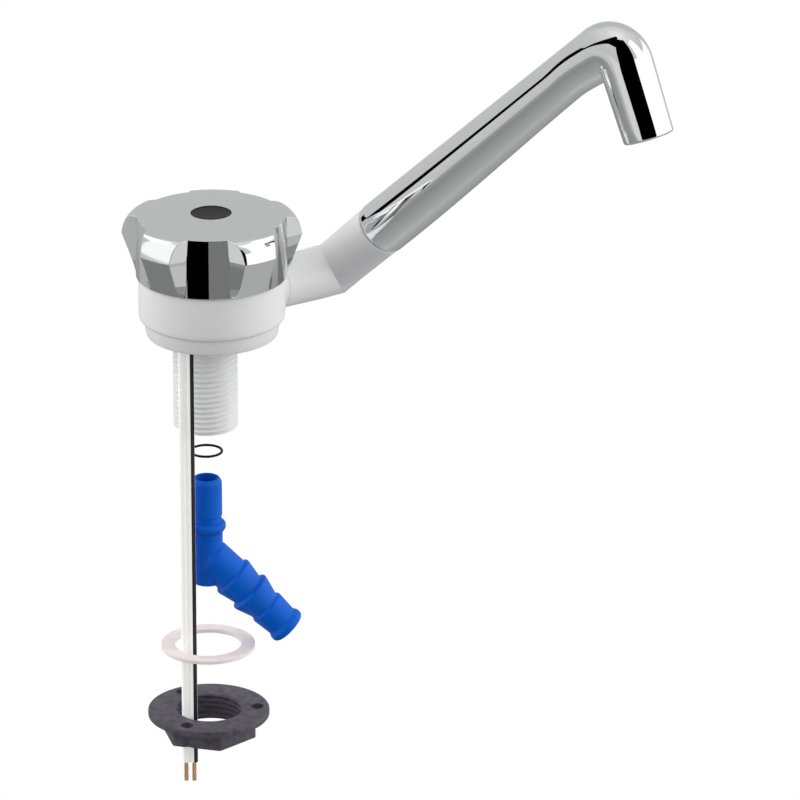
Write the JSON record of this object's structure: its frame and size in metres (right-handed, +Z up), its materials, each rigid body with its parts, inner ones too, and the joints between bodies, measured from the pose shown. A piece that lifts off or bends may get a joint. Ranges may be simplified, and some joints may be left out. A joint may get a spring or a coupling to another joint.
{
  "type": "cold water tap",
  "caption": "Deck-mounted cold water tap with a lobed turning knob, swivelling body, folding side spout, threaded tail, hose connector and built-in pump switch with cable.",
  "frame": {"origin": "centre of the foot's underside, on the deck, on the axis of knob and body", "axes": "+Z up along the axis of knob and body, +X to the spout side as seen from the front, +Y away from the front"},
  "size_m": [0.2007, 0.0941, 0.3089],
  "materials": {
    "chrome": "polished chrome plate on plastic",
    "white_plastic": "white moulded plastic, satin",
    "black_cap": "black plastic",
    "black_plastic": "black moulded plastic",
    "grey_plastic": "grey acetal",
    "blue_plastic": "blue glass-filled plastic",
    "nut_plastic": "dark violet-grey glass-filled plastic",
    "washer_fibre": "pale pink fibre",
    "rubber": "black rubber",
    "ceramic": "ground ceramic",
    "brass": "turned brass",
    "steel": "stainless steel",
    "copper": "bare copper wire",
    "cable_insulation": "white soft insulation with a black stripe"
  },
  "bodies": {
    "base": {"foot_and_tail": "white_plastic", "slip_ring": "grey_plastic", "column_seals": "rubber", "inlet_seal": "rubber", "fixed_disc": "ceramic", "valve_cartridge": "brass", "switch_carrier": "black_plastic", "carrier_screws": "steel", "microswitch": "black_plastic", "switch_terminals": "brass", "switch_leads": "cable_insulation", "cable_in_body": "cable_insulation", "cable_clamp": "grey_plastic", "cable": "cable_insulation", "bare_wire_ends": "copper"},
    "knob_group": {"knob": "chrome", "knob_cap": "black_cap", "knob_screw": "steel", "spindle": "brass", "spindle_seal": "rubber", "turning_disc": "ceramic", "switch_cam": "grey_plastic"},
    "plunger_group": {"switch_plunger": "grey_plastic"},
    "swivel_group": {"swivel_body": "white_plastic", "arm_clip": "steel"},
    "spout_group": {"side_arm": "white_plastic", "arm_seals": "rubber", "spout": "chrome", "spout_liner": "grey_plastic", "outlet_insert": "grey_plastic"},
    "ring_group": {"tail_o_ring": "rubber"},
    "connector_group": {"hose_connector": "blue_plastic"},
    "washer_group": {"deck_washer": "washer_fibre"},
    "nut_group": {"deck_nut": "nut_plastic"}
  },
  "joints": [
    {"name": "knob_turn", "type": "hinge", "parent": "base", "child": "knob_group", "pos_m": [0, 0, 0.035], "axis": [0, 0, 1], "range_deg": [0, 180]},
    {"name": "plunger_travel", "type": "slide", "parent": "base", "child": "plunger_group", "axis": [0, 1, 0], "range_m": [0, 0.0012]},
    {"name": "body_swivel", "type": "hinge", "parent": "base", "child": "swivel_group", "pos_m": [0, 0, 0.015], "axis": [0, 0, 1], "range_deg": [-150, 150]},
    {"name": "spout_fold", "type": "hinge", "parent": "swivel_group", "child": "spout_group", "pos_m": [0.02645, 0.01993, 0.0128], "axis": [0.7986, 0.6018, 0], "range_deg": [-40, 32]},
    {"name": "connector_fit", "type": "slide", "parent": "base", "child": "connector_group", "axis": [0, 0, 1], "range_m": [0, 0.0384]},
    {"name": "ring_fit", "type": "slide", "parent": "base", "child": "ring_group", "axis": [0, 0, 1], "range_m": [0, 0.011], "deforming": ["tail_o_ring"]},
    {"name": "washer_lift", "type": "slide", "parent": "base", "child": "washer_group", "axis": [0, 0, 1], "range_m": [0, 0.005]},
    {"name": "nut_lift", "type": "slide", "parent": "washer_group", "child": "nut_group", "axis": [0, 0, 1], "range_m": [0, 0.0245]}
  ],
  "couplings": [
    {"joint": "plunger_travel", "follows": "knob_turn", "m_per_rad": 0.00038197},
    {"joint": "ring_fit", "follows": "connector_fit", "ratio": 0.2864}
  ]
}
